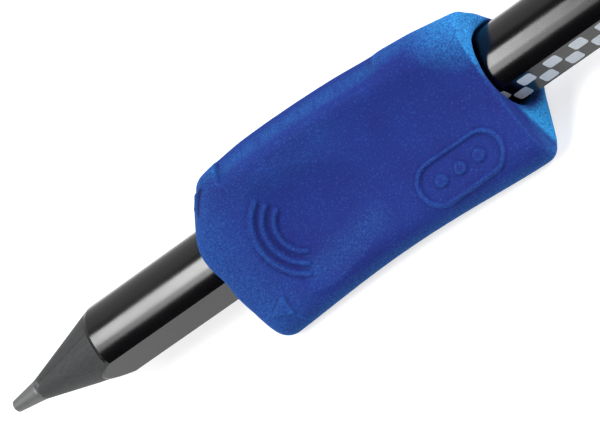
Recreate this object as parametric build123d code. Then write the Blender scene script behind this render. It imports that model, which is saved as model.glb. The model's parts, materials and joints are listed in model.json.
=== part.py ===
from build123d import *
from collections import namedtuple
import math
import os

os.makedirs("parts", exist_ok=True)

# Lengths in millimetres, angles in degrees. X runs along the pencil from tip to butt, Z is up.

# Pencil
PENCIL_LENGTH = 110.0
PENCIL_RADIUS = 3.7
FLAT_DEPTH = 0.55          # how far the one flat lies inside the round barrel
FLAT_TURN = 22.7           # the flat looks to -Y and this far down
LACQUER_THICKNESS = 0.1
GLUE_GAP = 0.03            # glue film between the slats, the lead and the lacquer
LEAD_RADIUS = 1.1
BLUNT_RADIUS = 0.62        # worn end of the lead
BLUNT_ROUNDING = 0.25
LEAD_POINT_LENGTH = 3.4    # bare lead in front of the wood
WOOD_CONE_LENGTH = 9.4     # sharpened wood, up to the round barrel

# Grip sleeve
GRIP_LENGTH = 33.8
TIP_TO_GRIP = 27.2
BORE_CLEARANCE = 0.3
MOUTH_FLARE = 0.25         # the bore widens this much in radius towards the rear end
MOUTH_LENGTH = 4.0
SIDE_FACE_ANGLE = 30.0     # a side face looks out and this far up
RIDGE_RADIUS = 2.4         # rounding of the three long ridges
FRONT_DOME_RADIUS = 17.5
FRONT_LEAN = 9.0           # the front end leans back towards the top
FRONT_ROUNDING = 1.8
REAR_ROUNDING = 1.2
REAR_HOLLOW_RADIUS = 36.0  # the rear end is hollowed towards the -Y side face
REAR_HOLLOW_DEPTH = 0.7    # depth of the hollow on the axis
REAR_HOLLOW_TILT = 7.4

# Rubber outside the bore at five stations, each at its share of the sleeve's length
Station = namedtuple("Station", "share top_ridge lower_ridges side_faces sole")
FRONT_END = Station(0.00, top_ridge=3.5, lower_ridges=5.8, side_faces=1.4, sole=1.6)
LAND_FRONT = Station(0.20, top_ridge=5.2, lower_ridges=5.65, side_faces=1.6, sole=1.5)
WAIST = Station(0.50, top_ridge=5.2, lower_ridges=5.2, side_faces=1.3, sole=1.1)
LAND_REAR = Station(0.74, top_ridge=4.5, lower_ridges=5.5, side_faces=0.95, sole=0.9)
REAR_END = Station(1.00, top_ridge=3.2, lower_ridges=5.95, side_faces=0.65, sole=0.9)

# Flat land along the top ridge, between two of the stations
LAND_WIDTH = 3.4

# Finger wells in the two side faces, pressed in by a round-ended bar that runs out to the rear
WELL_RADIUS = 14.0
WELL_WALL = 0.6            # rubber left between a well and the bore
WELL_TO_FRONT = 10.6
WELL_DROP = 0.75           # centre of the well below the middle of its face
WELL_TILT = 4.5
WELL_BAR_LENGTH = 24.0

# Touch ribs round the front of the well on the -Y face
RIB_RADII = (2.6, 3.65, 4.6)
RIB_THICKNESS = 0.56
RIB_HALF_SWEEP = 62.0

# Sizes that follow
tip_x = -PENCIL_LENGTH / 2
butt_x = PENCIL_LENGTH / 2
bore_radius = PENCIL_RADIUS + BORE_CLEARANCE
grip_front = tip_x + TIP_TO_GRIP
grip_rear = grip_front + GRIP_LENGTH
rib_radius = RIB_THICKNESS / 2
cut_overrun = 2 * PENCIL_RADIUS


def across(x):
    """Plane square to the pencil at x, with local X along Y and local Y along Z."""
    return Plane(origin=(x, 0, 0), x_dir=(0, 1, 0), z_dir=(1, 0, 0))


def station_x(station):
    """Place of a station along the pencil."""
    return grip_front + station.share * GRIP_LENGTH


def side_outward(side):
    """Direction in which a side face looks, for the side at -Y or +Y."""
    turn = math.radians(SIDE_FACE_ANGLE)
    return Vector(0, side * math.cos(turn), math.sin(turn))


def ridge_centres(station):
    """Centres of the three ridge roundings in a section: top, lower front, lower back."""
    top = bore_radius + station.top_ridge - RIDGE_RADIUS
    lower = bore_radius + station.lower_ridges - RIDGE_RADIUS
    turn = math.radians(SIDE_FACE_ANGLE)
    out = lower * math.cos(turn)
    down = -lower * math.sin(turn)
    return [Vector(0, top), Vector(-out, down), Vector(out, down)]


def face_arc(start, end, depth):
    """Ends and middle of the arc that is tangent to two ridges and lies at a depth from the axis."""
    middle = (start + end) * 0.5
    along = (end - start).normalized()
    outward = Vector(along.Y, -along.X)
    if outward.dot(middle) < 0:
        outward = outward * -1
    rise = depth - middle.dot(outward)
    half = (end - start).length / 2
    radius = (half**2 + rise**2 - RIDGE_RADIUS**2) / (2 * (RIDGE_RADIUS - rise))
    centre = middle + outward * (radius + rise)
    side = math.copysign(RIDGE_RADIUS, radius)
    first = start + (centre - start).normalized() * side
    last = end + (centre - end).normalized() * side
    return first, middle + outward * rise, last


def grip_section(x, station):
    """Three-faced section with rounded ridges and hollow faces."""
    centres = ridge_centres(station)
    walls = [station.side_faces, station.sole, station.side_faces]
    arcs = [face_arc(centres[i], centres[(i + 1) % 3], bore_radius + walls[i]) for i in range(3)]
    edges = []
    for i, centre in enumerate(centres):
        first, mid, last = arcs[i]
        before = arcs[i - 1][2]
        outward = ((before - centre) + (first - centre)).normalized()
        edges.append(ThreePointArc(before, centre + outward * RIDGE_RADIUS, first))
        edges.append(ThreePointArc(first, mid, last))
    return across(x) * make_face(edges)


def lofted_body():
    """Sleeve body before its ends are shaped, longer at the front by twice what the lean takes."""
    front_lean_length = math.tan(math.radians(FRONT_LEAN)) * (bore_radius + FRONT_END.lower_ridges)
    sections = [grip_section(grip_front - 2 * front_lean_length, FRONT_END)]
    for station in (LAND_FRONT, WAIST, LAND_REAR, REAR_END):
        sections.append(grip_section(station_x(station), station))
    return loft(sections)


def shaped_ends(body):
    """Domed front and flat rear, both rounded over, with a hollow in the rear."""
    dome_centre = Rot(0, FRONT_LEAN, 0) * Pos(FRONT_DOME_RADIUS, 0, 0)
    dome = Pos(grip_front, 0, 0) * dome_centre * Sphere(FRONT_DOME_RADIUS)
    tail = across(grip_front + FRONT_DOME_RADIUS) * extrude(Circle(FRONT_DOME_RADIUS), GRIP_LENGTH)
    body = body & (dome + tail)
    rear_face = body.faces().sort_by(Axis.X)[-1]
    body = fillet(rear_face.edges(), REAR_ROUNDING)
    front_face = body.faces().sort_by(Axis.X)[0]
    body = fillet(front_face.edges(), FRONT_ROUNDING)
    return body - rear_hollow()


def rear_hollow():
    """Ball that hollows the rear end, tilted towards the -Y side face."""
    tilt = math.radians(REAR_HOLLOW_TILT)
    axis = Vector(math.cos(tilt), 0, 0) + side_outward(-1) * math.sin(tilt)
    centre = Vector(grip_rear - REAR_HOLLOW_DEPTH, 0, 0) + axis * REAR_HOLLOW_RADIUS
    return Pos(centre) * Rot(0, 90, 0) * Sphere(REAR_HOLLOW_RADIUS)


def ridge_land(body):
    """Flat land cut along the top ridge, following the ridge's own curve."""
    cut = RIDGE_RADIUS - math.sqrt(RIDGE_RADIUS**2 - (LAND_WIDTH / 2) ** 2)
    points = []
    for station in (LAND_FRONT, WAIST, LAND_REAR):
        points.append((station_x(station), bore_radius + station.top_ridge - cut))
    floor = ThreePointArc(*points)
    above = bore_radius + LAND_FRONT.top_ridge + cut_overrun
    roof = Polyline(points[2], (points[2][0], above), (points[0][0], above), points[0])
    profile = Plane.XZ * make_face([floor, *roof.edges()])
    return body - extrude(profile, LAND_WIDTH, both=True)


def well_plane(side):
    """Plane at the centre of a well's round end: local Z looks out of the face, local X to the tip."""
    outward = side_outward(side)
    down = outward.cross(Vector(side, 0, 0))
    centre = outward * (bore_radius + WELL_WALL + WELL_RADIUS) + down * WELL_DROP
    centre += Vector(grip_front + WELL_TO_FRONT, 0, 0)
    return Plane(origin=centre, x_dir=(-1, 0, 0), z_dir=outward)


def finger_well(side, rib_radii=()):
    """Round-ended bar, tilted so that its well runs out to the rear. Grooves in its end leave the ribs."""
    profile = make_face(
        [
            Line((0, WELL_RADIUS), (0, -WELL_BAR_LENGTH)),
            Line((0, -WELL_BAR_LENGTH), (WELL_RADIUS, -WELL_BAR_LENGTH)),
            Line((WELL_RADIUS, -WELL_BAR_LENGTH), (WELL_RADIUS, 0)),
            RadiusArc((WELL_RADIUS, 0), (0, WELL_RADIUS), -WELL_RADIUS),
        ]
    )
    bar = Rot(0, 90 + WELL_TILT, 180) * revolve(Plane.XZ * profile, Axis.Z)
    for radius in rib_radii:
        bar -= touch_rib(radius)
    return well_plane(side) * bar


def touch_rib(radius):
    """Half-round rib along an arc on the well's round end, with rounded ends."""
    drop = -math.sqrt(WELL_RADIUS**2 - radius**2)
    profile = Plane.XZ * Pos(radius, drop) * Circle(rib_radius)
    rib = Rot(0, 0, -RIB_HALF_SWEEP) * revolve(profile, Axis.Z, 2 * RIB_HALF_SWEEP)
    for turn in (-RIB_HALF_SWEEP, RIB_HALF_SWEEP):
        rib += Rot(0, 0, turn) * Pos(radius, 0, drop) * Rot(90, 0, 0) * Sphere(rib_radius)
    return rib


def grip_sleeve():
    """Moulded rubber sleeve."""
    body = ridge_land(shaped_ends(lofted_body()))
    body -= finger_well(-1, RIB_RADII)
    body -= finger_well(1)
    return body - pencil_bore()


def pencil_bore():
    """Round bore right through, with a flared mouth at the rear."""
    bore = across(grip_front - cut_overrun) * extrude(Circle(bore_radius), GRIP_LENGTH + 2 * cut_overrun)
    mouth = Cone(bore_radius, bore_radius + 2 * MOUTH_FLARE, 2 * MOUTH_LENGTH)
    return bore + across(grip_rear) * mouth


def sharpened_envelope():
    """Everything inside the sharpened point and beyond it, as one turned form."""
    wood_start = tip_x + LEAD_POINT_LENGTH
    wood_slope = (PENCIL_RADIUS - LEAD_RADIUS) / WOOD_CONE_LENGTH
    outer = PENCIL_RADIUS + cut_overrun
    outer_x = wood_start + (outer - LEAD_RADIUS) / wood_slope
    profile = Polyline(
        (tip_x, 0),
        (tip_x, BLUNT_RADIUS),
        (wood_start, LEAD_RADIUS),
        (outer_x, outer),
        (butt_x, outer),
        (butt_x, 0),
        close=True,
    )
    form = revolve(Plane.XY * make_face(profile), Axis.X)
    tip_edge = form.edges().filter_by(GeomType.CIRCLE).sort_by(Axis.X)[0]
    return fillet(tip_edge, BLUNT_ROUNDING)


def flatted_round(radius, flat_distance):
    """Round barrel profile with one flat that looks to -Y before the turn."""
    half = math.sqrt(radius**2 - flat_distance**2)
    flat = Line((-flat_distance, -half), (-flat_distance, half))
    return make_face([flat, ThreePointArc((-flat_distance, half), (radius, 0), (-flat_distance, -half))])


def barrel(radius, flat_distance):
    """Full-length prism of a barrel profile, turned so that its flat looks the right way."""
    prism = extrude(across(tip_x) * flatted_round(radius, flat_distance), PENCIL_LENGTH)
    return Rot(FLAT_TURN, 0, 0) * prism


def pencil_pieces():
    """Lead, two glued slats and the lacquer coat, all cut by the sharpened point."""
    envelope = sharpened_envelope()
    flat_distance = PENCIL_RADIUS - FLAT_DEPTH
    wood_radius = PENCIL_RADIUS - LACQUER_THICKNESS
    wood_flat = flat_distance - LACQUER_THICKNESS
    bed = across(tip_x) * extrude(Circle(LEAD_RADIUS), PENCIL_LENGTH)
    rod = across(tip_x) * extrude(Circle(LEAD_RADIUS - GLUE_GAP), PENCIL_LENGTH)
    coat = barrel(PENCIL_RADIUS, flat_distance) - barrel(wood_radius, wood_flat)
    wood = (barrel(wood_radius - GLUE_GAP, wood_flat - GLUE_GAP) - bed) & envelope
    to_one_side = (Align.CENTER, Align.MAX, Align.CENTER)
    half_space = Box(2 * PENCIL_LENGTH, cut_overrun, 2 * cut_overrun, align=to_one_side)
    flat_side = Rot(FLAT_TURN, 0, 0) * Pos(0, -GLUE_GAP / 2, 0) * half_space
    round_side = Rot(FLAT_TURN + 180, 0, 0) * Pos(0, -GLUE_GAP / 2, 0) * half_space
    return {
        "lead_core": rod & envelope,
        "slat_flat_side": wood & flat_side,
        "slat_round_side": wood & round_side,
        "lacquer_coat": coat & envelope,
    }


pieces = {"grip_sleeve": grip_sleeve(), **pencil_pieces()}

# The lowest points of the lower ridges stand on Z = 0
axis_height = -pieces["grip_sleeve"].bounding_box().min.Z
print("axis height", round(axis_height, 4))
for name, piece in pieces.items():
    export_step(Pos(0, 0, axis_height) * piece, f"parts/{name}.step")
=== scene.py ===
import json
import math

import bpy
from mathutils import Matrix, Vector

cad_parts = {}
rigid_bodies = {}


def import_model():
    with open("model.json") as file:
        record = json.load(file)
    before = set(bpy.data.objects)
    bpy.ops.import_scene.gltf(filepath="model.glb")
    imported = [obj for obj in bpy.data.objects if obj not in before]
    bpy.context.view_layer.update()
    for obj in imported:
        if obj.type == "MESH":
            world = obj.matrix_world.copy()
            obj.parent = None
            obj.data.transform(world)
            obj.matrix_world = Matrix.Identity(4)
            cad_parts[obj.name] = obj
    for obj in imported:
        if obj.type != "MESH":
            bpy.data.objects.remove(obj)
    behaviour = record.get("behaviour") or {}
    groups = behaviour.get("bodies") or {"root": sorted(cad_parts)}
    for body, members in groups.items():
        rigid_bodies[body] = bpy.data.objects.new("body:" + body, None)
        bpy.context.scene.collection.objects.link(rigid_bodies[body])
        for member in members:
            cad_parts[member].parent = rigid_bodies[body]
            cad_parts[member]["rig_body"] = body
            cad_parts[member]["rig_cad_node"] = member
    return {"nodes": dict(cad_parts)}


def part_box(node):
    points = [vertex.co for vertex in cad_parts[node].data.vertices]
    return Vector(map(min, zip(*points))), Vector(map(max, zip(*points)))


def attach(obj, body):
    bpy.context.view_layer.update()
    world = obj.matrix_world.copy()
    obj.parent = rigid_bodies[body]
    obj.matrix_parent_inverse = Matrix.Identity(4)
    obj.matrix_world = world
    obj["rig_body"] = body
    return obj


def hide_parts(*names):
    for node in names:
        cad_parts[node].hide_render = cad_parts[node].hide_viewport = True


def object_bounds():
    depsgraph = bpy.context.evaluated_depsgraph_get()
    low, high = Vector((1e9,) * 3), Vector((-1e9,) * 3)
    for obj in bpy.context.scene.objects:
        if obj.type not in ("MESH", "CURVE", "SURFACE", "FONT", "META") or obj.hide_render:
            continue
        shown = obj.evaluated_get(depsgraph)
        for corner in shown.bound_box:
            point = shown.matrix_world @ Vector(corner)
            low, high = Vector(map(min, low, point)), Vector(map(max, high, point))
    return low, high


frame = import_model()
cad_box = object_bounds()

bl_info = {
    "name": "Pencil Grip",
    "version": (1, 0, 0),
    "blender": (4, 5, 0),
    "location": "View3D > Sidebar > Pencil Grip",
    "description": "Moulded rubber grip on a black lacquered pencil",
    "category": "Object",
}

MM = 0.001
AXIS_HEIGHT = sum(corner.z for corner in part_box("lead_core")) / 2
AXIS_POINT = Vector((0, 0, AXIS_HEIGHT))
BARREL_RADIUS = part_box("lacquer_coat")[1].z - AXIS_HEIGHT

# Width and focal length of the photograph in pixels, and the camera's sensor in millimetres
IMAGE_WIDTH = 600
FOCAL_LENGTH = 3063.3
SENSOR_WIDTH = 36

# Sockets of a Mix node that mixes colours
FACTOR, COLOUR_A, COLOUR_B, COLOUR_OUT = 0, 6, 7, 2


# Colour, setting and node helpers

def linear(hex_colour):
    """Linear RGBA from an sRGB hex value such as 2E3E8A."""
    channels = []
    for start in (0, 2, 4):
        value = int(hex_colour[start:start + 2], 16) / 255
        channels.append(value / 12.92 if value <= 0.04045 else ((value + 0.055) / 1.055) ** 2.4)
    return (*channels, 1.0)


def colour_property(name, description, hex_colour):
    """Colour setting whose default is given as sRGB hex."""
    return bpy.props.FloatVectorProperty(
        name=name, description=description, subtype="COLOR", size=4, min=0, max=1,
        default=linear(hex_colour),
    )


def length_property(name, description, millimetres):
    """Length setting in metres whose default is given in millimetres."""
    return bpy.props.FloatProperty(
        name=name, description=description, subtype="DISTANCE", unit="LENGTH",
        default=millimetres * MM, precision=5,
    )


def angle_property(name, description, degrees):
    """Angle setting whose default is given in degrees."""
    return bpy.props.FloatProperty(
        name=name, description=description, subtype="ANGLE", unit="ROTATION",
        default=math.radians(degrees),
    )


def point_property(name, description, millimetres):
    """Point, in metres, whose default is given in millimetres."""
    return bpy.props.FloatVectorProperty(
        name=name, description=description, subtype="TRANSLATION", unit="LENGTH",
        size=len(millimetres), default=tuple(value * MM for value in millimetres), precision=5,
    )


def passes_property(name, description, passes):
    """Number of smoothing passes."""
    return bpy.props.IntProperty(name=name, description=description, default=passes, min=0)


def power_property(name, description, watts):
    """Power of a light in watts."""
    return bpy.props.FloatProperty(
        name=name, description=description, subtype="POWER", unit="POWER", default=watts
    )


def add_node(tree, kind, settings=None, values=None, links=None):
    """Node of a kind, with its settings, its input values and links into its inputs."""
    node = tree.nodes.new(kind)
    for key, value in (settings or {}).items():
        setattr(node, key, value)
    for key, value in (values or {}).items():
        node.inputs[key].default_value = value
    for key, socket in (links or {}).items():
        tree.links.new(socket, node.inputs[key])
    return node


def new_material(name, values):
    """Node material with its output, and a Principled shader that has these values."""
    material = bpy.data.materials.new(name)
    material.use_nodes = True
    tree = material.node_tree
    tree.nodes.clear()
    shader = add_node(tree, "ShaderNodeBsdfPrincipled", values=values)
    add_node(tree, "ShaderNodeOutputMaterial", links={"Surface": shader.outputs["BSDF"]})
    return material, tree, shader


# Settings

class RubberSleeveSettings(bpy.types.PropertyGroup):
    """Sizes and colours of the moulded sleeve."""

    skin_voxel: length_property("Skin voxel", "Mesh size of the moulded skin", 0.12)
    skin_smoothing: passes_property("Skin smoothing", "Passes that soften the mould's edges", 2)
    soft_smoothing: passes_property(
        "Soft smoothing", "More passes round the marks and along the top land", 6
    )
    land_smoothing: passes_property(
        "Land smoothing", "More passes along the top land, most where it runs out", 110
    )
    rear_smoothing: passes_property(
        "Rear smoothing", "More passes on the rear end and its rim", 28
    )
    skin_share: bpy.props.FloatProperty(
        name="Skin share", description="Share of the skin's triangles that is kept",
        subtype="FACTOR", default=0.4, min=0.01, max=1,
    )
    badge_point: point_property(
        "Badge point", "Middle of the pill outline on the side face", (-1.6, -7.2, 4.95)
    )
    badge_rise: angle_property("Badge rise", "The badge looks to -Y and this far up", 45)
    badge_length: length_property("Badge length", "Raised pill outline along the pencil", 9.3)
    badge_width: length_property("Badge width", "Raised pill outline across the side face", 4.3)
    badge_line: length_property("Badge line", "Width of the raised outline", 0.38)
    dot_radius: length_property("Dot radius", "Raised dots inside the pill outline", 0.6)
    dot_spacing: length_property("Dot spacing", "From one dot to the next", 2.1)
    arrow_point: point_property(
        "Arrow point", "Middle of the raised arrow near the front end", (-23.3, -8.2, 4.1)
    )
    arrow_rise: angle_property("Arrow rise", "The arrow looks to -Y and this far up", 37)
    arrow_radius: length_property("Arrow radius", "From the arrow's middle to its corners", 1.3)
    mark_height: length_property("Mark height", "Rise of the marks over the face", 0.28)
    lip_point: point_property(
        "Lip point", "Middle of the thin flash left by the mould", (-24.06, -1.02, 14.3)
    )
    lip_length: length_property("Lip length", "Flash along the front edge", 3.0)
    lip_thickness: length_property("Lip thickness", "Thickness of the flash", 0.34)
    lip_height: length_property("Lip height", "Height of the flash, most of it in the rubber", 0.8)
    nose_fill: length_property(
        "Nose fill", "How far the front end stands forward beside the pencil", 1.0
    )
    foot_set_back: length_property(
        "Foot set back", "How far the front end's lower corners stand back", 0.22
    )
    corner_drop: length_property(
        "Corner drop", "How far the top corner of the front end drops", 0.4
    )
    base_fill: length_property(
        "Base fill", "How far the base's hollow is filled at the rear end", 0.75
    )
    base_bulge: length_property("Base bulge", "How far the rear end bulges out over the base", 0.45)
    top_drop: length_property("Top drop", "How far the top corner of the rear end drops", 0.5)
    rim_set_back: length_property(
        "Rim set back", "How far the rim behind the pencil stands back", 0.7
    )
    rim_hug: length_property("Rim hug", "How far the rim above the pencil closes in on it", 0.35)
    rim_rise: length_property("Rim rise", "How far the rim above the pencil rises", 0.35)
    drift: length_property("Drift", "Size of the slow changes of colour", 5.0)
    grit: length_property("Grit", "Spacing of the sandy mould texture", 0.17)
    body_colour: colour_property("Rubber", "Main colour of the sleeve", "1C2F7E")
    shade_colour: colour_property("Rubber shade", "Deeper patches of the sleeve", "1B2976")
    grit_colour: colour_property("Rubber grit", "Tops of the sandy texture", "2A58B4")
    # Painted shade in the hollows, the crease and the bore
    groove_shade_colour: colour_property("Rubber groove", "Bottom of the grooves and the bore", "140F3C")
    sheen_colour: colour_property("Rubber sheen", "Pale bloom seen along the edges", "2A9CFF")
    # Painted highlight on the ends and edges, and how far in from an end it reaches
    painted_light_colour: colour_property("Rubbed rubber", "Paler rubber on the ends and edges", "36A2EA")
    painted_light_length: length_property(
        "Rubbed length", "How far in from an end the rubber is rubbed", 4.5
    )


class PencilSettings(bpy.types.PropertyGroup):
    """Sizes and colours of the pencil."""

    flat_turn: angle_property("Flat turn", "The barrel's flat looks to -Y and this far down", 22.7)
    flat_distance: length_property(
        "Flat distance", "Flat of the barrel from the pencil's axis", 3.15
    )
    cell_length: length_property("Cell length", "White printed cell along the pencil", 1.45)
    cell_width: length_property("Cell width", "White printed cell across the flat", 1.55)
    cell_period: length_property("Cell period", "From one cell to the next in a row", 2.86)
    cell_rounding: length_property("Cell rounding", "Corner radius of a cell", 0.3)
    row_offset: length_property("Row offset", "Rows of cells from the middle of the print", 0.81)
    row_middle: length_property(
        "Row middle", "Middle of the print above the flat's own middle", -0.02
    )
    print_phase: length_property(
        "Print phase", "Place of one cell of the upper row along the pencil", 9.92
    )
    print_start: length_property("Print start", "Front end of the printed band", -14.0)
    ink_thickness: length_property("Ink thickness", "Printed film on the lacquer", 0.012)
    lacquer_colour: colour_property("Lacquer", "Black lacquer of the barrel", "060507")
    ink_colour: colour_property("Ink", "White ink of the cells", "D8E1E9")
    wood_colour: colour_property("Wood", "Black dyed wood", "303334")
    pore_colour: colour_property("Wood pores", "Dark lines of the grain", "27292A")
    graphite_colour: colour_property("Graphite", "Lead", "666868")


class StageSettings(bpy.types.PropertyGroup):
    """Camera, lights and floor."""

    camera_azimuth: angle_property("Azimuth", "Camera round the object", 29.5)
    camera_elevation: angle_property("Elevation", "Camera above the floor", 33.027)
    camera_roll: angle_property("Roll", "Camera turned about its own line of sight", -52.297)
    camera_distance: length_property("Distance", "Camera from the point it looks at", 274.891)
    camera_lens: bpy.props.FloatProperty(
        name="Lens", description="Focal length in millimetres on the camera's sensor",
        subtype="DISTANCE_CAMERA", unit="CAMERA",
        default=FOCAL_LENGTH / IMAGE_WIDTH * SENSOR_WIDTH,
    )
    target: point_property("Target", "Point near the grip's middle", (-11, 0, 6.2))
    framing: point_property(
        "Framing", "Camera moved sideways and up in its own view", (-5.611, -4.499)
    )
    key_power: power_property("Key power", "Softbox that draws the barrel's highlight", 3.1)
    fill_power: power_property(
        "Fill power", "Softbox under the key, where the highlight fades", 0.75
    )
    rear_power: power_property("Rear power", "Softbox beyond the butt end", 4.5)
    floor_colour: colour_property("Floor", "White sweep", "BEBEBE")


# Modelling helpers

def ramp(value, low, high):
    """Share, from 0 at low to 1 at high."""
    return max(0.0, min(1.0, (value - low) / (high - low)))


def dome(value, reach):
    """Share, from 1 at zero down to 0 at the reach to either side."""
    return max(0.0, 1 - (value / reach) ** 2)


def select_only(*objects):
    """Object mode with just these objects selected, the first one active."""
    if bpy.context.object and bpy.context.object.mode != "OBJECT":
        bpy.ops.object.mode_set(mode="OBJECT")
    bpy.ops.object.select_all(action="DESELECT")
    for piece in objects:
        piece.select_set(True)
    bpy.context.view_layer.objects.active = objects[0] if objects else None


def select_vertices(piece, wanted):
    """Edit mode with just the vertices selected whose points are wanted."""
    select_only(piece)
    bpy.context.tool_settings.mesh_select_mode = [True, False, False]
    bpy.ops.object.mode_set(mode="EDIT")
    bpy.ops.mesh.select_all(action="DESELECT")
    bpy.ops.object.mode_set(mode="OBJECT")
    for vertex in piece.data.vertices:
        vertex.select = wanted(vertex.co)
    bpy.ops.object.mode_set(mode="EDIT")


def apply_modifier(piece, kind, **settings):
    """Adds a modifier with its settings and applies it."""
    select_only(piece)
    modifier = piece.modifiers.new(kind.title(), kind)
    for key, value in settings.items():
        setattr(modifier, key, value)
    bpy.ops.object.modifier_apply(modifier=modifier.name)


def place(piece, matrix):
    """Puts a piece in place and moves that place into its mesh."""
    piece.matrix_world = matrix
    select_only(piece)
    bpy.ops.object.transform_apply(location=True, rotation=True, scale=True)


def facing(outward):
    """Rotation whose Z looks outward and whose X runs along the pencil, from tip to butt."""
    across = outward.cross(Vector((1, 0, 0))).normalized()
    along = across.cross(outward)
    return Matrix((along, across, outward)).transposed().to_4x4()


def side_place(point, rise):
    """Place at a point that looks to -Y and an angle up."""
    outward = Vector((0, -math.cos(rise), math.sin(rise)))
    return Matrix.Translation(point) @ facing(outward)


def cad_copy(node, name):
    """Merged copy of a CAD node's mesh as a piece of its own."""
    select_only(frame["nodes"][node])
    bpy.ops.object.duplicate()
    piece = bpy.context.object
    piece.name = name
    piece.data.name = name
    bpy.ops.object.parent_clear(type="CLEAR")
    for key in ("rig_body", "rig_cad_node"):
        del piece[key]
    bpy.ops.mesh.customdata_custom_splitnormals_clear()
    bpy.ops.object.mode_set(mode="EDIT")
    bpy.ops.mesh.select_all(action="SELECT")
    bpy.ops.mesh.remove_doubles(threshold=0.001 * MM)
    bpy.ops.object.mode_set(mode="OBJECT")
    return piece


def dress(piece, material):
    """One material on a piece."""
    piece.data.materials.clear()
    piece.data.materials.append(material)


# Rubber sleeve

# The near side face looks to -Y and this far up, and lies this far from the axis at the rear end
SIDE_RISE = math.pi / 6
SIDE_OUTWARD = Vector((0, -math.cos(SIDE_RISE), math.sin(SIDE_RISE)))
SIDE_UP = Vector((0, math.sin(SIDE_RISE), math.cos(SIDE_RISE)))
SIDE_DISTANCE = 3.4 * MM

# Round the axis, in degrees: the top ridge, and from each of the three ridges to the next
TOP_RIDGE = 90
RIDGE_SPACING = 120

# The mould's flash runs down the rounded front edge, half way between the end and the top ridge.
# It stands out square to that line, and its outer edge is this share of its root's length.
LIP_ALONG = Vector((-0.66, -0.31, -0.69)).normalized()
LIP_OUTWARD = Vector((-0.76, 0.06, 0.70)).cross(LIP_ALONG).cross(LIP_ALONG).normalized() * -1
LIP_TAPER = 0.55

# A mark is laid on the skin by rays that start this far above it
MARK_RAY = 4 * MM

# Spans in which the soft forms of the ends grow from nothing to their full size. Depths are
# counted inwards from the sleeve's own end, and the rest up, across and out from the pencil's axis.
FRONT_DEPTH = 7 * MM, 1 * MM
NOSE_OUT = 0.5 * MM, 3 * MM
FOOT_DROP = -3 * MM, -5 * MM
CORNER_DEPTH = 9.5 * MM, 4.5 * MM
CORNER_RISE = 5 * MM, 8 * MM
REAR_DEPTH = 5 * MM, 0
BASE_DEPTH = 10 * MM, 1 * MM
BULGE_DROP = -3 * MM, -5 * MM
FAR_RIM_ACROSS = 1.5 * MM, 4 * MM
FAR_RIM_RISE = 0, 3 * MM
OVER_HOLE_ACROSS = -0.5 * MM, 1 * MM
OVER_HOLE_RISE = 2 * MM, 3.5 * MM
RISE_OUTSIDE = 5.8 * MM, 4.8 * MM
RISE_INSIDE = 4.2 * MM, 4.6 * MM
HUG_INSIDE = 4.7 * MM, 4.3 * MM
# The noses of the two side faces run into each other over this width
NOSES_MEET = 1.5 * MM
NOSE_MIDDLE, NOSE_REACH = 2.3 * MM, 4.2 * MM
# The base's hollow, by its height over the floor and its half width
BASE_HEIGHT = 2.1 * MM, 1.5 * MM
BASE_REACH = 6.5 * MM
# The rim leaves this room round the barrel
HUG_GAP = 0.15 * MM

# The top land: its depth under the sleeve's top, the share of the sleeve behind its end, and the
# spans in which its smoothing sets in, with the share that all but its end gets
LAND_DEPTH = 2.6 * MM
LAND_END = 0.26
LAND_EDGE = -1.5 * MM, 0
LAND_RUN_OUT = 5 * MM, 1.5 * MM
LAND_START = 7.5 * MM, 9.5 * MM
LAND_SHARE = 0.25
# The rear end's smoothing goes this far in
REAR_BAND = 2.4 * MM

# Painted highlight at each place, standing in for the rim and rear light on the edges and ends: its
# share, and the span in which it grows to that share. The front end and the top corner count in
# lengths of its reach
PAINTED_LIGHT_SHARES = {
    "ridge": (0.20, 9, 1),  # degrees from a ridge
    "front": (0.17, 1.5, 0),  # rubbed lengths from the front end
    "well": (0.09, 2.0 * MM, 0.3 * MM),  # from the slope under the finger well
    "land": (0.05, 3.0 * MM, 0.5 * MM),  # from the slope under the top land
    "top_corner": (0.85, 1.4, 0.2),  # rubbed lengths from the rear end's top corner
    "under_turn": (0.5, 18, 4),  # degrees from how the lower ridges look where they turn under
    "rear_low": (1.5, -0.1 * MM, 0.8 * MM),  # in from the side faces, on the rear end
    "rear_high": (0.85, 2.5 * MM, 4.5 * MM),  # up from the axis, on the rear end
    "crest": (0.1, -0.4, -1.8),  # bend of the skin, per millimetre
}
# Where the lower ridges turn under: how they look, in degrees, and how far out they lie
UNDER_TURN = -127
LOWER_RIDGES = 6.5 * MM
# On the rear end: how much the skin looks back, and how far out the hole's edge lies
LOOKS_BACK = 0.1, 0.7
HOLE_EDGE = 4.4 * MM, 5.2 * MM
# Diameter of the front end's dome
FRONT_DOME = 35 * MM
# Painted shade darkens the bore, but above the hole the rear end's painted highlight runs on into
# it
PALE_BORE = 0.7
PALE_DEPTH = 2.5 * MM, 1.5 * MM
PALE_ACROSS = -0.5 * MM, 0.5 * MM
BORE_RADIUS = 4.45 * MM, 4.2 * MM
BORE_LOOKS = 0.85, 0.45
# Painted shade: how dark a groove is, and its bend per millimetre, and the crease beside the flash
GROOVE_SHARE = 0.6
GROOVE_BEND = 0.35, 2.0
LIP_CREASE = 0.3 * MM, 0.12 * MM
# Passes that even out the measured bend
BEND_PASSES = 3


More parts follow.
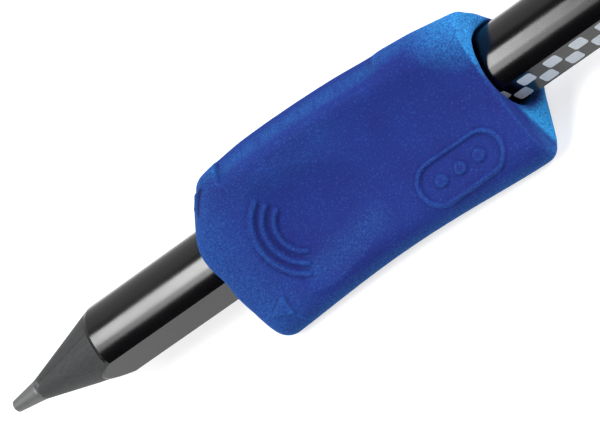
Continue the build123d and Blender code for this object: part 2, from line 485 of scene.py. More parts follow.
def moulded_rubber(settings):
    """Thermoplastic rubber from a sand-blasted mould.

    It is matte and sandy, with a blue sheen towards its edges, a painted highlight on its ends and
    edges and painted shade in its hollows and bore.
    """
    material, tree, shader = new_material("moulded_blue_rubber", {
        "IOR": 1.45, "Specular IOR Level": 0.18,
        "Sheen Weight": 0.45, "Sheen Roughness": 0.35, "Sheen Tint": settings.sheen_colour,
    })
    place_on = add_node(tree, "ShaderNodeTexCoord").outputs["Object"]
    # Slow drift of the colour, as the pigment flowed into the mould
    drift = add_node(
        tree, "ShaderNodeTexNoise",
        values={"Scale": 1 / settings.drift, "Detail": 3.0, "Roughness": 0.55},
        links={"Vector": place_on},
    )
    drift_range = add_node(
        tree, "ShaderNodeMapRange", values={"From Min": 0.35, "From Max": 0.65},
        links={"Value": drift.outputs["Fac"]},
    )
    ground = add_node(
        tree, "ShaderNodeMix", {"data_type": "RGBA"},
        {COLOUR_A: settings.shade_colour, COLOUR_B: settings.body_colour},
        {FACTOR: drift_range.outputs["Result"]},
    )
    # Sandy grit, drawn a little coarser than the real texture so that it shows
    grit = add_node(
        tree, "ShaderNodeTexNoise",
        values={"Scale": 1 / settings.grit, "Detail": 2.0, "Roughness": 0.6},
        links={"Vector": place_on},
    )
    grit_tops = add_node(
        tree, "ShaderNodeMapRange", values={"From Min": 0.55, "From Max": 0.8, "To Max": 0.55},
        links={"Value": grit.outputs["Fac"]},
    )
    speckled = add_node(
        tree, "ShaderNodeMix", {"data_type": "RGBA"}, {COLOUR_B: settings.grit_colour},
        {FACTOR: grit_tops.outputs["Result"], COLOUR_A: ground.outputs[COLOUR_OUT]},
    )
    # Painted highlight where the piece's own attribute says so, most of all on the tops of the grit
    painted_light = add_node(tree, "ShaderNodeAttribute", {"attribute_name": "painted_light"})
    painted_light_tops = add_node(
        tree, "ShaderNodeMapRange", values={"From Min": 0.25, "From Max": 0.65},
        links={"Value": grit.outputs["Fac"]},
    )
    painted_light_share = add_node(
        tree, "ShaderNodeMath", {"operation": "MULTIPLY"},
        links={0: painted_light.outputs["Fac"], 1: painted_light_tops.outputs["Result"]},
    )
    painted_light_mix = add_node(
        tree, "ShaderNodeMix", {"data_type": "RGBA"}, {COLOUR_B: settings.painted_light_colour},
        {FACTOR: painted_light_share.outputs[0], COLOUR_A: speckled.outputs[COLOUR_OUT]},
    )
    # Painted shade in the hollows of the skin, in the crease beside the flash and in the bore
    shaded_grooves = add_node(tree, "ShaderNodeAttribute", {"attribute_name": "shaded_grooves"})
    groove_share = add_node(
        tree, "ShaderNodeMath", {"operation": "MULTIPLY"}, {1: 0.8}, {0: shaded_grooves.outputs["Fac"]}
    )
    shaded_mix = add_node(
        tree, "ShaderNodeMix", {"data_type": "RGBA"}, {COLOUR_B: settings.groove_shade_colour},
        {FACTOR: groove_share.outputs[0], COLOUR_A: painted_light_mix.outputs[COLOUR_OUT]},
    )
    tree.links.new(shaded_mix.outputs[COLOUR_OUT], shader.inputs["Base Color"])
    rough = add_node(
        tree, "ShaderNodeMapRange",
        values={"From Min": 0.3, "From Max": 0.7, "To Min": 0.85, "To Max": 0.68},
        links={"Value": grit.outputs["Fac"]},
    )
    tree.links.new(rough.outputs["Result"], shader.inputs["Roughness"])
    bump = add_node(
        tree, "ShaderNodeBump", values={"Strength": 0.6, "Distance": 0.03 * MM},
        links={"Height": grit.outputs["Fac"]},
    )
    tree.links.new(bump.outputs["Normal"], shader.inputs["Normal"])
    return material


def pill_outline(settings):
    """Flat pill-shaped ring, as wide as the badge."""
    radius = settings.badge_width / 2
    select_only()
    bpy.ops.mesh.primitive_circle_add(vertices=48, radius=radius, fill_type="NGON")
    outline = bpy.context.object
    outline.name = "badge_outline"
    # The halves of the circle move apart, and the two points between them stay
    stretch = settings.badge_length / 2 - radius
    between = radius * 1e-3
    for side in (-1, 1):
        select_vertices(outline, lambda point: side * point.x > between)
        bpy.ops.transform.translate(value=(side * stretch, 0, 0))
        bpy.ops.object.mode_set(mode="OBJECT")
    bpy.ops.object.mode_set(mode="EDIT")
    bpy.ops.mesh.select_all(action="SELECT")
    bpy.ops.mesh.inset(thickness=settings.badge_line)
    bpy.ops.mesh.delete(type="FACE")
    bpy.ops.mesh.select_all(action="SELECT")
    bpy.ops.mesh.subdivide(number_cuts=3)
    bpy.ops.object.mode_set(mode="OBJECT")
    return outline


def rounded_patch(name, corners, radius, rounding):
    """Flat patch with rounded corners and a fine mesh inside, its first corner at +Y."""
    select_only()
    bpy.ops.mesh.primitive_circle_add(vertices=corners, radius=radius, fill_type="NGON")
    patch = bpy.context.object
    patch.name = name
    bpy.ops.object.mode_set(mode="EDIT")
    bpy.ops.mesh.select_all(action="SELECT")
    if rounding:
        bpy.ops.mesh.bevel(offset=rounding, segments=4, affect="VERTICES")
        bpy.ops.mesh.select_all(action="SELECT")
    bpy.ops.mesh.inset(thickness=radius * 0.25)
    bpy.ops.mesh.poke()
    bpy.ops.object.mode_set(mode="OBJECT")
    return patch


def lay_on_face(mark, sleeve, matrix, settings):
    """Lays a flat mark on the sleeve along the matrix's Z, and thickens it half into the rubber."""
    place(mark, matrix)
    outward = (matrix.to_3x3() @ Vector((0, 0, 1))).normalized()
    for vertex in mark.data.vertices:
        start = vertex.co + outward * MARK_RAY
        hit, point, *_ = sleeve.ray_cast(start, -outward, distance=2 * MARK_RAY)
        if not hit:
            raise RuntimeError(f"{mark.name} doesn't lie on the sleeve")
        vertex.co = point
    apply_modifier(mark, "SOLIDIFY", thickness=2 * settings.mark_height, offset=0.0)


def mould_flash(settings):
    """Thin lip that the mould's parting left along the upper front edge."""
    select_only()
    bpy.ops.mesh.primitive_cube_add(size=1)
    lip = bpy.context.object
    lip.name = "mould_flash"
    bpy.ops.object.mode_set(mode="EDIT")
    bpy.ops.mesh.select_all(action="SELECT")
    size = settings.lip_thickness, settings.lip_length, settings.lip_height
    bpy.ops.transform.resize(value=size)
    select_vertices(lip, lambda point: point.z > 0)
    bpy.ops.transform.resize(value=(1, LIP_TAPER, 1))
    bpy.ops.mesh.select_all(action="SELECT")
    bpy.ops.mesh.bevel(offset=settings.lip_thickness * 0.4, segments=2)
    bpy.ops.object.mode_set(mode="OBJECT")
    turn = Matrix((LIP_ALONG.cross(LIP_OUTWARD), LIP_ALONG, LIP_OUTWARD)).transposed().to_4x4()
    place(lip, Matrix.Translation(settings.lip_point) @ turn)
    return lip


def fill_front(sleeve, settings):
    """Fuller front end beside the pencil, on both sides alike, and a lower top corner."""
    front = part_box("grip_sleeve")[0].x
    front_span = [front + depth for depth in FRONT_DEPTH]
    corner_span = [front + depth for depth in CORNER_DEPTH]
    for vertex in sleeve.data.vertices:
        out = vertex.co - AXIS_POINT
        side = Vector((0, -math.hypot(out.y, NOSES_MEET), out.z))
        up_face = side.dot(SIDE_UP)
        at_front = ramp(vertex.co.x, *front_span)
        nose = at_front * dome(up_face - NOSE_MIDDLE, NOSE_REACH) ** 2
        nose *= ramp(side.dot(SIDE_OUTWARD), *NOSE_OUT)
        foot = at_front * ramp(up_face, *FOOT_DROP)
        corner = ramp(vertex.co.x, *corner_span) * ramp(out.z, *CORNER_RISE)
        vertex.co.x += settings.foot_set_back * foot - settings.nose_fill * nose
        vertex.co.z -= settings.corner_drop * corner


def fill_rear(sleeve, settings):
    """Fuller rear end: its base fills and bulges, its top corner drops and its rim closes in."""
    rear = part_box("grip_sleeve")[1].x
    rear_span = [rear - depth for depth in REAR_DEPTH]
    base_span = [rear - depth for depth in BASE_DEPTH]
    for vertex in sleeve.data.vertices:
        out = vertex.co - AXIS_POINT
        radius = out.yz.length
        at_rear = ramp(vertex.co.x, *rear_span)
        mid_width = dome(out.y, BASE_REACH)
        base = ramp(vertex.co.z, *BASE_HEIGHT) * ramp(vertex.co.x, *base_span) * mid_width
        bulge = at_rear * ramp(out.z, *BULGE_DROP) * mid_width
        top = at_rear * ramp(out.z, *CORNER_RISE)
        far_rim = at_rear * ramp(out.y, *FAR_RIM_ACROSS) * ramp(out.z, *FAR_RIM_RISE)
        over_hole = at_rear * ramp(out.y, *OVER_HOLE_ACROSS) * ramp(out.z, *OVER_HOLE_RISE)
        rise = over_hole * ramp(radius, *RISE_OUTSIDE) * ramp(radius, *RISE_INSIDE)
        hug = over_hole * ramp(radius, *HUG_INSIDE)
        room = max(0.0, radius - BARREL_RADIUS - HUG_GAP)
        vertex.co.x += settings.rim_set_back * far_rim + settings.base_bulge * bulge
        vertex.co.z += (
            settings.rim_rise * rise - settings.base_fill * base - settings.top_drop * top
        )
        inwards = -Vector((0, out.y, out.z)).normalized()
        vertex.co += inwards * min(settings.rim_hug * hug, room)


def soften(sleeve, passes, share_at):
    """Smooths the skin by the share that each point gets, from 0 to 1."""
    group = sleeve.vertex_groups.new(name="soft")
    for vertex in sleeve.data.vertices:
        share = float(share_at(vertex.co))
        if share > 0:
            group.add([vertex.index], share, "REPLACE")
    apply_modifier(sleeve, "SMOOTH", factor=0.5, iterations=passes, vertex_group="soft")
    sleeve.vertex_groups.remove(sleeve.vertex_groups["soft"])


def soften_skin(sleeve, settings):
    """Softens the skin all over, more round the marks, and most on the top land and the rear."""
    badge, arrow = Vector(settings.badge_point), Vector(settings.arrow_point)
    badge_reach = settings.badge_length * 0.6
    arrow_reach = settings.arrow_radius * 1.5
    front, rear = (corner.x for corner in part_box("grip_sleeve"))
    land_height = cad_box[1].z - LAND_DEPTH
    land_end = rear - LAND_END * (rear - front)
    land_span = [front + depth for depth in LAND_START]
    edge_span = [land_height + step for step in LAND_EDGE]

    def on_marks(point):
        return (
            point.z > land_height
            or (point - badge).length < badge_reach
            or (point - arrow).length < arrow_reach
        )

    def on_land(point):
        run_out = ramp(abs(point.x - land_end), *LAND_RUN_OUT)
        before = LAND_SHARE * ramp(point.x, *land_span)
        return ramp(point.z, *edge_span) * max(run_out, before)

    soften(sleeve, settings.skin_smoothing, lambda point: 1)
    soften(sleeve, settings.soft_smoothing, on_marks)
    soften(sleeve, settings.land_smoothing, on_land)
    soften(sleeve, settings.rear_smoothing, lambda point: point.x > rear - REAR_BAND)


def skin_bend(mesh):
    """Bend of the skin at each vertex, per metre: above 0 in hollows and below 0 on crests."""
    vertices = mesh.vertices
    pairs = [tuple(edge.vertices) for edge in mesh.edges]
    bends = [0.0] * len(vertices)
    counts = [0] * len(vertices)
    for first, second in pairs:
        across = vertices[second].co - vertices[first].co
        bends[first] += 2 * across.dot(vertices[first].normal) / across.length_squared
        bends[second] -= 2 * across.dot(vertices[second].normal) / across.length_squared
        counts[first] += 1
        counts[second] += 1
    bends = [bend / max(count, 1) for bend, count in zip(bends, counts)]
    for _ in range(BEND_PASSES):
        sums = list(bends)
        for first, second in pairs:
            sums[first] += bends[second]
            sums[second] += bends[first]
        bends = [total / (count + 1) for total, count in zip(sums, counts)]
    return bends


def from_line(point, start, end):
    """Distance of a point from the line between two others."""
    along = end - start
    share = max(0.0, min(1.0, (point - start).dot(along) / along.length_squared))
    return (point - start - along * share).length


def painted_light_at(place_name, measure):
    """Share of painted highlight at a place, by the place's own measure."""
    share, none, full = PAINTED_LIGHT_SHARES[place_name]
    return share * ramp(measure, none, full)


def paint_light_and_shade(sleeve, settings):
    """Attributes of the painted highlight and the painted shade on the skin."""
    lowest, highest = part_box("grip_sleeve")
    reach = settings.painted_light_length
    top_corner = Vector((highest.x, 1.2 * MM, highest.z - 1.5 * MM))
    # Painted shade along the crease between the flash and the front end
    crease = Vector(settings.lip_point) - Vector((0, 0, settings.corner_drop))
    crease -= LIP_ALONG.cross(LIP_OUTWARD) * 0.2 * MM + LIP_OUTWARD * 0.15 * MM
    half_crease = LIP_ALONG * 1.3 * MM
    crease_line = crease - half_crease, crease + half_crease
    # Painted highlight on the slopes under the finger well and under the top land, on both side
    # faces alike
    well_slope = Vector((-18.5, -7.2, 4.5)) * MM, Vector((-11.0, -6.9, 5.3)) * MM
    land_slope = Vector((-22.5, -2.4, 13.4)) * MM, Vector((-10.5, -2.4, 13.3)) * MM
    bends = skin_bend(sleeve.data)
    painted_light = sleeve.data.attributes.new("painted_light", "FLOAT", "POINT")
    shaded_grooves = sleeve.data.attributes.new("shaded_grooves", "FLOAT", "POINT")
    for vertex in sleeve.data.vertices:
        bend = bends[vertex.index] * MM
        side = Vector((vertex.co.x, -abs(vertex.co.y), vertex.co.z))
        out = vertex.co - AXIS_POINT
        radius = out.yz.length
        round_axis = math.degrees(math.atan2(out.z, out.y)) - TOP_RIDGE
        from_ridge = abs((round_axis + RIDGE_SPACING / 2) % RIDGE_SPACING - RIDGE_SPACING / 2)
        # The domed front end lies further back the further it is from the axis
        from_front = vertex.co.x - lowest.x - radius ** 2 / FRONT_DOME
        shares = [
            painted_light_at("ridge", from_ridge),
            painted_light_at("front", from_front / reach),
            painted_light_at("well", from_line(side, *well_slope)),
            painted_light_at("land", from_line(side, *land_slope)),
            painted_light_at("top_corner", (vertex.co - top_corner).length / reach),
        ]
        # Painted glints along the lower ridges where they turn under
        if radius > LOWER_RIDGES and out.z < 0:
            turn = math.degrees(math.atan2(vertex.normal.z, -abs(vertex.normal.y)))
            shares.append(painted_light_at("under_turn", abs(turn - UNDER_TURN)))
        if vertex.co.x > highest.x - reach / 2:
            # Painted highlight where the rear end faces the rear light: under the side faces' rims,
            # which stay darker, and all over above the hole
            from_side = SIDE_DISTANCE - (side - AXIS_POINT).dot(SIDE_OUTWARD)
            low = painted_light_at("rear_low", from_side) * ramp(radius, *HOLE_EDGE)
            shares.append(ramp(vertex.normal.x, *LOOKS_BACK) * max(low, painted_light_at("rear_high", out.z)))
        # Painted highlight over the hole runs into the bore, and painted shade fills the rest of
        # the bore
        over_hole = ramp(highest.x - vertex.co.x, *PALE_DEPTH) * ramp(out.y, *PALE_ACROSS)
        over_hole *= ramp(out.z, *OVER_HOLE_RISE)
        shares.append(PALE_BORE * over_hole)
        in_bore = ramp(radius, *BORE_RADIUS) * ramp(abs(vertex.normal.x), *BORE_LOOKS)
        in_bore *= 1 - over_hole
        lip_crease = ramp(from_line(vertex.co, *crease_line), *LIP_CREASE)
        groove = GROOVE_SHARE * ramp(bend, *GROOVE_BEND)
        # Painted highlight, kept out of the bore, and painted shade in the hollows, the crease and
        # the bore
        painted_light.data[vertex.index].value = (max(shares) + painted_light_at("crest", bend)) * (1 - in_bore)
        shaded_grooves.data[vertex.index].value = max(groove, in_bore, lip_crease)


class PENCILGRIP_OT_rubber_sleeve(bpy.types.Operator):
    """Make the moulded rubber sleeve with its raised marks"""

    bl_idname = "pencil_grip.rubber_sleeve"
    bl_label = "Rubber Sleeve"

    def execute(self, context):
        settings = context.scene.rubber_sleeve
        sleeve = cad_copy("grip_sleeve", "rubber_sleeve")
        badge_place = side_place(settings.badge_point, settings.badge_rise)
        marks = [pill_outline(settings)]
        lay_on_face(marks[0], sleeve, badge_place, settings)
        for step in (-1, 0, 1):
            dot = rounded_patch("badge_dot", corners=24, radius=settings.dot_radius, rounding=0)
            along = Matrix.Translation((step * settings.dot_spacing, 0, 0))
            lay_on_face(dot, sleeve, badge_place @ along, settings)
            marks.append(dot)
        arrow = rounded_patch(
            "tip_arrow", corners=3, radius=settings.arrow_radius,
            rounding=settings.arrow_radius * 0.3,
        )
        arrow_place = side_place(settings.arrow_point, settings.arrow_rise)
        to_tip = Matrix.Rotation(math.pi / 2, 4, "Z")
        lay_on_face(arrow, sleeve, arrow_place @ to_tip, settings)
        marks += [arrow, mould_flash(settings)]
        select_only(sleeve, *marks)
        bpy.ops.object.join()
        # One skin over the body and its marks, which run into each other as moulded rubber does
        apply_modifier(sleeve, "REMESH", mode="VOXEL", voxel_size=settings.skin_voxel)
        fill_front(sleeve, settings)
        fill_rear(sleeve, settings)
        soften_skin(sleeve, settings)
        apply_modifier(sleeve, "DECIMATE", ratio=settings.skin_share)
        paint_light_and_shade(sleeve, settings)
        select_only(sleeve)
        bpy.ops.object.shade_smooth()
        dress(sleeve, moulded_rubber(settings))
        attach(sleeve, "grip")
        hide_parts("grip_sleeve")
        return {"FINISHED"}


# Pencil

def dipped_lacquer(settings):
    """Several dipped coats of black lacquer: deep gloss, a little hazy, with a faint ripple."""
    material, tree, shader = new_material(
        "dipped_black_lacquer", {"Base Color": settings.lacquer_colour, "IOR": 1.5}
    )
    place_on = add_node(tree, "ShaderNodeTexCoord").outputs["Object"]
    # Ripple about 1.2 mm across
    ripple = add_node(
        tree, "ShaderNodeTexNoise", values={"Scale": 1 / (1.2 * MM), "Detail": 1.0},
        links={"Vector": place_on},
    )
    bump = add_node(
        tree, "ShaderNodeBump", values={"Strength": 0.1, "Distance": 0.01 * MM},
        links={"Height": ripple.outputs["Fac"]},
    )
    tree.links.new(bump.outputs["Normal"], shader.inputs["Normal"])
    # Haze in patches of about 6 mm
    haze = add_node(
        tree, "ShaderNodeTexNoise", values={"Scale": 1 / (6 * MM), "Detail": 4.0},
        links={"Vector": place_on},
    )
    rough = add_node(
        tree, "ShaderNodeMapRange",
        values={"From Min": 0.3, "From Max": 0.7, "To Min": 0.17, "To Max": 0.23},
        links={"Value": haze.outputs["Fac"]},
    )
    tree.links.new(rough.outputs["Result"], shader.inputs["Roughness"])
    return material


def white_ink(settings):
    """Screen-printed white ink under a thin varnish: even, with a slightly patchy cover."""
    material, tree, shader = new_material("printed_white_ink", {"Roughness": 0.3})
    place_on = add_node(tree, "ShaderNodeTexCoord").outputs["Object"]
    # Patches about 0.5 mm across
    cover = add_node(
        tree, "ShaderNodeTexNoise", values={"Scale": 1 / (0.5 * MM), "Detail": 3.0},
        links={"Vector": place_on},
    )
    tone = add_node(
        tree, "ShaderNodeMapRange",
        values={"From Min": 0.3, "From Max": 0.7, "To Min": 0.93, "To Max": 1.0},
        links={"Value": cover.outputs["Fac"]},
    )
    shade = add_node(
        tree, "ShaderNodeMix", {"data_type": "RGBA", "blend_type": "MULTIPLY"},
        {FACTOR: 1.0, COLOUR_A: settings.ink_colour}, {COLOUR_B: tone.outputs["Result"]},
    )
    tree.links.new(shade.outputs[COLOUR_OUT], shader.inputs["Base Color"])
    return material


def dyed_wood(settings):
    """Linden dyed black: soft sheen and fine pores along the pencil.

    Lead is smeared unevenly on its sharpened end.
    """
    material, tree, shader = new_material("black_dyed_wood", {"Roughness": 0.6})
    place_on = add_node(tree, "ShaderNodeTexCoord").outputs["Object"]
    # Pores 0.22 mm apart and about 5 mm long
    stretched = add_node(
        tree, "ShaderNodeMapping",
        values={"Scale": (1 / (5 * MM), 1 / (0.22 * MM), 1 / (0.22 * MM))},
        links={"Vector": place_on},
    )
    grain = add_node(
        tree, "ShaderNodeTexNoise", values={"Scale": 1.0, "Detail": 4.0, "Roughness": 0.6},
        links={"Vector": stretched.outputs["Vector"]},
    )
    tone = add_node(
        tree, "ShaderNodeMapRange", values={"From Min": 0.35, "From Max": 0.6},
        links={"Value": grain.outputs["Fac"]},
    )
    colour = add_node(
        tree, "ShaderNodeMix", {"data_type": "RGBA"},
        {COLOUR_A: settings.pore_colour, COLOUR_B: settings.wood_colour},
        {FACTOR: tone.outputs["Result"]},
    )
    # The smear ends in a wavy line, about 3.6 mm from the tip, with waves about 0.9 mm long
    wave = add_node(
        tree, "ShaderNodeTexNoise", values={"Scale": 1 / (0.9 * MM), "Detail": 2.0},
        links={"Vector": place_on},
    )
    reach = add_node(
        tree, "ShaderNodeMapRange", {"clamp": False},
        {"From Min": 0.3, "From Max": 0.7, "To Min": -0.6 * MM, "To Max": 0.6 * MM},
        {"Value": wave.outputs["Fac"]},
    )
    along = add_node(tree, "ShaderNodeSeparateXYZ", links={"Vector": place_on})
    wavy = add_node(
        tree, "ShaderNodeMath", {"operation": "ADD"},
        links={0: along.outputs["X"], 1: reach.outputs["Result"]},
    )
    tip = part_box("lead_core")[0].x
    smear = add_node(
        tree, "ShaderNodeMapRange",
        values={
            "From Min": tip + 3.4 * MM, "From Max": tip + 3.8 * MM, "To Min": 0.75, "To Max": 0.0
        },
        links={"Value": wavy.outputs[0]},
    )
    smeared = add_node(
        tree, "ShaderNodeMix", {"data_type": "RGBA"}, {COLOUR_B: settings.graphite_colour},
        {FACTOR: smear.outputs["Result"], COLOUR_A: colour.outputs[COLOUR_OUT]},
    )
    tree.links.new(smeared.outputs[COLOUR_OUT], shader.inputs["Base Color"])
    bump = add_node(
        tree, "ShaderNodeBump", values={"Strength": 0.2, "Distance": 0.02 * MM},
        links={"Height": grain.outputs["Fac"]},
    )
    tree.links.new(bump.outputs["Normal"], shader.inputs["Normal"])
    return material


def graphite(settings):
    """Fired graphite and clay: dark grey with a soft metallic polish."""
    material, tree, shader = new_material(
        "fired_graphite", {"Base Color": settings.graphite_colour, "Metallic": 0.3}
    )
    place_on = add_node(tree, "ShaderNodeTexCoord").outputs["Object"]
    # Grain of about 0.15 mm
    grain = add_node(
        tree, "ShaderNodeTexNoise", values={"Scale": 1 / (0.15 * MM), "Detail": 3.0},
        links={"Vector": place_on},
    )
    rough = add_node(
        tree, "ShaderNodeMapRange",
        values={"From Min": 0.3, "From Max": 0.7, "To Min": 0.35, "To Max": 0.55},
        links={"Value": grain.outputs["Fac"]},
    )
    tree.links.new(rough.outputs["Result"], shader.inputs["Roughness"])
    bump = add_node(
        tree, "ShaderNodeBump", values={"Strength": 0.3, "Distance": 0.02 * MM},
        links={"Height": grain.outputs["Fac"]},
    )
    tree.links.new(bump.outputs["Normal"], shader.inputs["Normal"])
    return material


class PENCILGRIP_OT_pencil_finish(bpy.types.Operator):
    """Give the lacquer, the wood and the lead their finishes"""

    bl_idname = "pencil_grip.pencil_finish"
    bl_label = "Pencil Finish"

    def execute(self, context):
        settings = context.scene.pencil
        nodes = frame["nodes"]
        wood = dyed_wood(settings)
        dress(nodes["slat_flat_side"], wood)
        dress(nodes["slat_round_side"], wood)
        dress(nodes["lead_core"], graphite(settings))
        dress(nodes["lacquer_coat"], dipped_lacquer(settings))
        return {"FINISHED"}


class PENCILGRIP_OT_checker_print(bpy.types.Operator):
    """Print two staggered rows of white cells on the barrel's flat"""

    bl_idname = "pencil_grip.checker_print"
    bl_label = "Checker Print"

    def execute(self, context):
        settings = context.scene.pencil
        outward = Vector((0, -math.cos(settings.flat_turn), -math.sin(settings.flat_turn)))
        flat_point = AXIS_POINT + outward * settings.flat_distance
        on_flat = Matrix.Translation(flat_point) @ facing(outward)
        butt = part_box("lacquer_coat")[1].x
        cell = self.make_cell(settings)
        copies = []
        for row in (0, 1):
            sign = 1 - 2 * row
            shift = settings.print_phase + row * settings.cell_period / 2
            first = math.ceil((settings.print_start - shift) / settings.cell_period)
            last = math.floor((butt - settings.cell_length / 2 - shift) / settings.cell_period)
            for count in range(first, last + 1):
                copy = cell.copy()
                copy.data = cell.data.copy()
                context.collection.objects.link(copy)
                middle = Vector((
                    shift + count * settings.cell_period,
                    settings.row_middle + sign * settings.row_offset,
                    0,
                ))
                place(copy, on_flat @ Matrix.Translation(middle))
                copies.append(copy)
        bpy.data.objects.remove(cell)
        select_only(*copies)
        bpy.ops.object.join()
        rows = bpy.context.object
        rows.name = "checker_print"
        dress(rows, white_ink(settings))
        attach(rows, "pencil")
        return {"FINISHED"}

    def make_cell(self, settings):
        """One cell of ink with rounded corners, half sunk in the varnish."""
        select_only()
        bpy.ops.mesh.primitive_plane_add(size=1)
        cell = bpy.context.object
        bpy.ops.object.mode_set(mode="EDIT")
        bpy.ops.mesh.select_all(action="SELECT")
        bpy.ops.transform.resize(value=(settings.cell_length, settings.cell_width, 1))
        bpy.ops.mesh.bevel(offset=settings.cell_rounding, segments=4, affect="VERTICES")
        bpy.ops.object.mode_set(mode="OBJECT")
        apply_modifier(cell, "SOLIDIFY", thickness=settings.ink_thickness, offset=0.0)
        return cell


# Stage

FLOOR_SIZE = 3.0
# Brings the floor up to white where it is seen
FLOOR_LIFT = 0.68
FLAG_SIZE = 1.0
FLAG_PLACE = (0, -0.52, 0.0004)
LIGHT_DISTANCE = 0.6


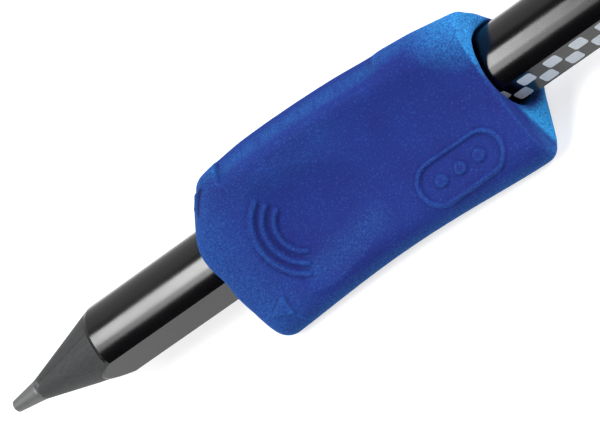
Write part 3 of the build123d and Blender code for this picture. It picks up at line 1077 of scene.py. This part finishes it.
class PENCILGRIP_OT_stage(bpy.types.Operator):
    """Set the floor, the lights, the surroundings and the camera"""

    bl_idname = "pencil_grip.stage"
    bl_label = "Stage"

    def execute(self, context):
        settings = context.scene.stage
        azimuth, elevation = settings.camera_azimuth, settings.camera_elevation
        roll = settings.camera_roll
        back = Vector((
            math.sin(azimuth) * math.cos(elevation),
            -math.cos(azimuth) * math.cos(elevation),
            math.sin(elevation),
        ))
        level_right = Vector((0, 0, 1)).cross(back).normalized()
        level_up = back.cross(level_right)
        right = level_right * math.cos(roll) + level_up * math.sin(roll)
        up = level_up * math.cos(roll) - level_right * math.sin(roll)
        target = Vector(settings.target)
        self.make_camera(context, settings, target, right, up, back)
        self.make_floor(settings)
        self.make_flag()
        self.make_lights(context, settings, target)
        self.make_world(context, back)
        context.scene.view_settings.view_transform = "Standard"
        return {"FINISHED"}

    def make_camera(self, context, settings, target, right, up, back):
        """Camera at the photograph's viewing angle."""
        data = bpy.data.cameras.new("photo_camera")
        data.sensor_width = SENSOR_WIDTH
        data.lens = settings.camera_lens
        data.clip_start = 10 * MM
        camera = bpy.data.objects.new("photo_camera", data)
        context.collection.objects.link(camera)
        place_at = (
            target + back * settings.camera_distance
            + right * settings.framing[0] + up * settings.framing[1]
        )
        turn = Matrix((right, up, back)).transposed().to_4x4()
        camera.matrix_world = Matrix.Translation(place_at) @ turn
        context.scene.camera = camera

    def make_floor(self, settings):
        """White sweep under the object, lifted to white where it is seen, with its shadow."""
        select_only()
        bpy.ops.mesh.primitive_plane_add(size=FLOOR_SIZE)
        floor = bpy.context.object
        floor.name = "white_floor"
        material, tree, shader = new_material("white_sweep", {
            "Base Color": settings.floor_colour, "Roughness": 0.9, "Specular IOR Level": 0.0,
            "Emission Color": (1, 1, 1, 1),
        })
        lift = add_node(
            tree, "ShaderNodeMath", {"operation": "MULTIPLY"},
            {1: FLOOR_LIFT}, {0: self.seen_ray(tree)},
        )
        tree.links.new(lift.outputs[0], shader.inputs["Emission Strength"])
        dress(floor, material)

    def seen_ray(self, tree):
        """Socket that is 1 where the camera sees a surface, straight or through gloss and glass."""
        ray = add_node(tree, "ShaderNodeLightPath").outputs
        seen = ray["Is Camera Ray"]
        for way in ("Is Glossy Ray", "Is Transmission Ray"):
            either = add_node(
                tree, "ShaderNodeMath", {"operation": "MAXIMUM"}, links={0: seen, 1: ray[way]}
            )
            seen = either.outputs[0]
        return seen

    def make_flag(self):
        """Black card on the camera's side, seen only as the dark band in the barrel's gloss."""
        select_only()
        bpy.ops.mesh.primitive_plane_add(size=FLAG_SIZE, location=FLAG_PLACE)
        flag = bpy.context.object
        flag.name = "black_flag"
        material, *_ = new_material(
            "black_card", {"Base Color": linear("050505"), "Specular IOR Level": 0.0}
        )
        dress(flag, material)
        flag.visible_camera = False
        flag.visible_diffuse = False
        flag.visible_shadow = False

    def make_lights(self, context, settings, target):
        """Key softbox in the barrel's highlight, a dimmer one under it and one past the butt."""
        for name, direction, width, height, power in (
            ("key_softbox", (-0.42, -0.417, 0.806), 0.16, 0.324, settings.key_power),
            ("fill_softbox", (-0.40, -0.73, 0.55), 0.15, 0.175, settings.fill_power),
            ("rear_softbox", (0.95, 0.05, 0.30), 0.40, 0.40, settings.rear_power),
        ):
            data = bpy.data.lights.new(name, "AREA")
            data.shape = "RECTANGLE"
            data.size = width
            data.size_y = height
            data.energy = power
            light = bpy.data.objects.new(name, data)
            context.collection.objects.link(light)
            towards = Vector(direction).normalized()
            place_at = target + towards * LIGHT_DISTANCE
            light.matrix_world = Matrix.Translation(place_at) @ facing(towards)

    def make_world(self, context, back):
        """Light tent: bright behind the object and dim round the camera."""
        world = bpy.data.worlds.new("light_tent")
        context.scene.world = world
        world.use_nodes = True
        tree = world.node_tree
        tree.nodes.clear()
        looking = add_node(tree, "ShaderNodeTexCoord").outputs["Generated"]
        towards_camera = add_node(
            tree, "ShaderNodeVectorMath", {"operation": "DOT_PRODUCT"}, {1: back}, {0: looking}
        )
        tent = add_node(
            tree, "ShaderNodeMapRange", {"interpolation_type": "SMOOTHSTEP"},
            {"From Min": 0.1, "From Max": 0.35, "To Min": 0.95, "To Max": 0.05},
            {"Value": towards_camera.outputs["Value"]},
        )
        light = add_node(tree, "ShaderNodeBackground", links={"Strength": tent.outputs["Result"]})
        add_node(tree, "ShaderNodeOutputWorld", links={"Surface": light.outputs["Background"]})


# Panel and registration

class PENCILGRIP_PT_panel(bpy.types.Panel):
    """Steps of the model, in order"""

    bl_idname = "PENCILGRIP_PT_panel"
    bl_label = "Pencil Grip"
    bl_space_type = "VIEW_3D"
    bl_region_type = "UI"
    bl_category = "Pencil Grip"

    def draw(self, context):
        for step in steps:
            self.layout.operator(step.bl_idname)
        for group in (context.scene.rubber_sleeve, context.scene.pencil, context.scene.stage):
            box = self.layout.box()
            for key in group.bl_rna.properties.keys():
                if key not in ("rna_type", "name"):
                    box.prop(group, key)


steps = (
    PENCILGRIP_OT_rubber_sleeve,
    PENCILGRIP_OT_pencil_finish,
    PENCILGRIP_OT_checker_print,
    PENCILGRIP_OT_stage,
)
groups = {"rubber_sleeve": RubberSleeveSettings, "pencil": PencilSettings, "stage": StageSettings}


def register():
    """Registers the settings, the steps and the panel."""
    for key, group in groups.items():
        bpy.utils.register_class(group)
        setattr(bpy.types.Scene, key, bpy.props.PointerProperty(type=group))
    for step in steps:
        bpy.utils.register_class(step)
    bpy.utils.register_class(PENCILGRIP_PT_panel)


def unregister():
    """Takes back what register did."""
    bpy.utils.unregister_class(PENCILGRIP_PT_panel)
    for step in reversed(steps):
        bpy.utils.unregister_class(step)
    for key, group in reversed(groups.items()):
        delattr(bpy.types.Scene, key)
        bpy.utils.unregister_class(group)


def main():
    """Builds the whole scene."""
    register()
    bpy.ops.pencil_grip.rubber_sleeve()
    bpy.ops.pencil_grip.pencil_finish()
    bpy.ops.pencil_grip.checker_print()
    bpy.ops.pencil_grip.stage()


if __name__ == "__main__":
    main()
